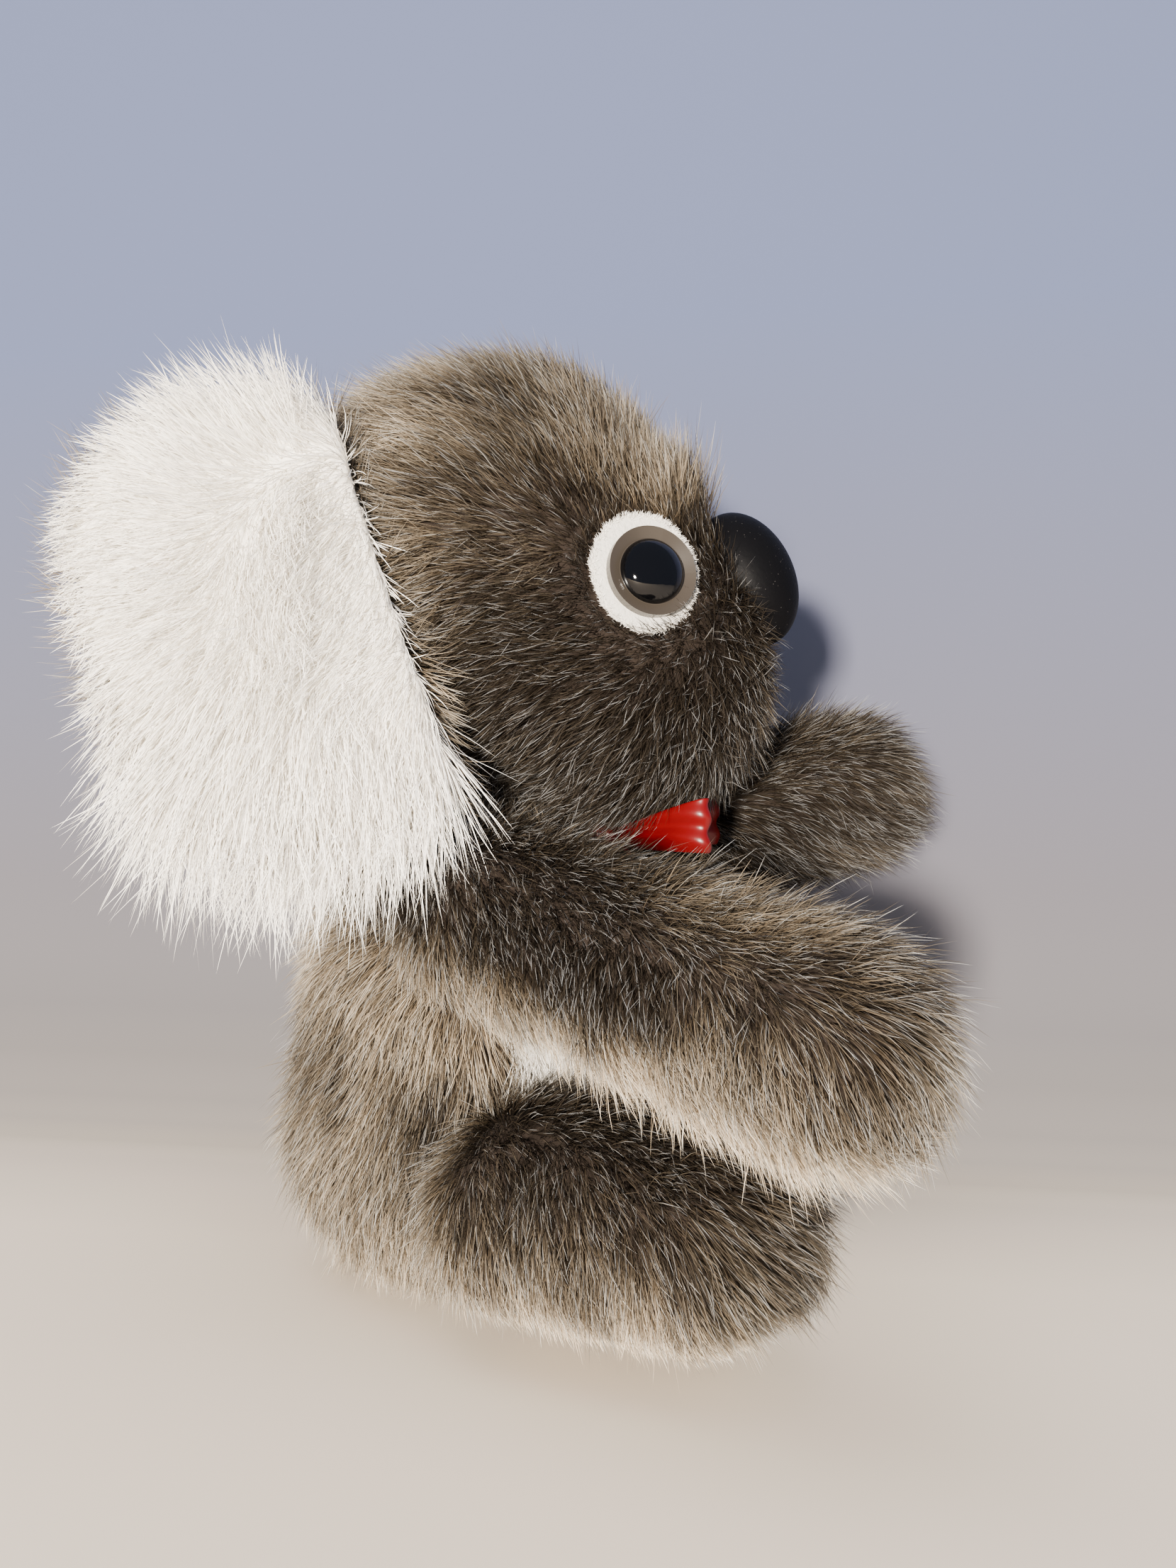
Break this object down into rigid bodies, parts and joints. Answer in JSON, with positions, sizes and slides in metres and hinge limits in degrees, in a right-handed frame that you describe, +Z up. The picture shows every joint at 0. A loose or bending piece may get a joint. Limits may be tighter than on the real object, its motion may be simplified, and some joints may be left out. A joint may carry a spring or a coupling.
{
  "type": "plush koala toy",
  "caption": "Sitting stuffed koala toy of mottled fur fabric with large white-faced ears, plastic eyes and nose, a ribbon bow, and a head, ears and limbs that move.",
  "frame": {"origin": "on the floor, at the middle of the flat of the seat", "axes": "+Z up, the koala faces -Y, its right side is -X"},
  "size_m": [0.1181, 0.1208, 0.1515],
  "materials": {
    "fur": "brown-grey mottled fur fabric",
    "white_fur": "long white pile",
    "filling": "polyester fibre filling",
    "iris": "satin moulded plastic, taupe",
    "pupil": "polished black",
    "felt": "off-white pressed felt",
    "washer": "natural white nylon",
    "nose_plastic": "matte black, fine grain",
    "ribbon": "red satin",
    "thread": "polyester sewing thread"
  },
  "bodies": {
    "torso": {"torso_cover": "fur", "belly_panel": "white_fur", "torso_stuffing": "filling", "neck_ribbon": "ribbon", "bow_knot": "ribbon", "right_bow_loop": "ribbon", "left_bow_loop": "ribbon", "right_bow_tail": "ribbon", "left_bow_tail": "ribbon", "back_stitches": "thread"},
    "neck": {"neck_plug": "fur"},
    "head": {"head_cover": "fur", "head_stuffing": "filling", "nose": "nose_plastic", "nose_washer": "washer", "right_eye_flange": "iris", "right_eye_pupil": "pupil", "right_eye_felt": "felt", "right_eye_washer": "washer", "left_eye_flange": "iris", "left_eye_pupil": "pupil", "left_eye_felt": "felt", "left_eye_washer": "washer"},
    "right_ear": {"right_ear_front": "white_fur", "right_ear_back": "fur"},
    "right_arm": {"right_arm_cover": "fur", "right_arm_stuffing": "filling"},
    "right_leg": {"right_leg_cover": "fur", "right_leg_stuffing": "filling"},
    "left_ear": {"left_ear_front": "white_fur", "left_ear_back": "fur"},
    "left_arm": {"left_arm_cover": "fur", "left_arm_stuffing": "filling"},
    "left_leg": {"left_leg_cover": "fur", "left_leg_stuffing": "filling"}
  },
  "joints": [
    {"name": "neck_turn", "type": "hinge", "parent": "torso", "child": "neck", "pos_m": [0, -0.002, 0.084], "axis": [0, 0, 1], "range_deg": [-16, 16]},
    {"name": "head_nod", "type": "hinge", "parent": "neck", "child": "head", "pos_m": [0, -0.002, 0.084], "axis": [1, 0, 0], "range_deg": [-8, 3]},
    {"name": "right_shoulder", "type": "hinge", "parent": "torso", "child": "right_arm", "pos_m": [-0.0182, -0.004, 0.0635], "axis": [-1, 0, 0], "range_deg": [-6, 34]},
    {"name": "left_shoulder", "type": "hinge", "parent": "torso", "child": "left_arm", "pos_m": [0.0182, -0.004, 0.0635], "axis": [-1, 0, 0], "range_deg": [-37, 3]},
    {"name": "right_hip", "type": "hinge", "parent": "torso", "child": "right_leg", "pos_m": [-0.0182, -0.015, 0.0195], "axis": [-1, 0, 0], "range_deg": [-30, 3]},
    {"name": "left_hip", "type": "hinge", "parent": "torso", "child": "left_leg", "pos_m": [0.0182, -0.015, 0.0195], "axis": [-1, 0, 0], "range_deg": [-30, 3]},
    {"name": "right_ear_fold", "type": "hinge", "parent": "head", "child": "right_ear", "pos_m": [-0.0364, -0.002, 0.084], "axis": [0, 0.3219, 0.9468], "range_deg": [0, 35]},
    {"name": "left_ear_fold", "type": "hinge", "parent": "head", "child": "left_ear", "pos_m": [0.0364, -0.002, 0.084], "axis": [0, -0.3219, -0.9468], "range_deg": [0, 35]}
  ]
}
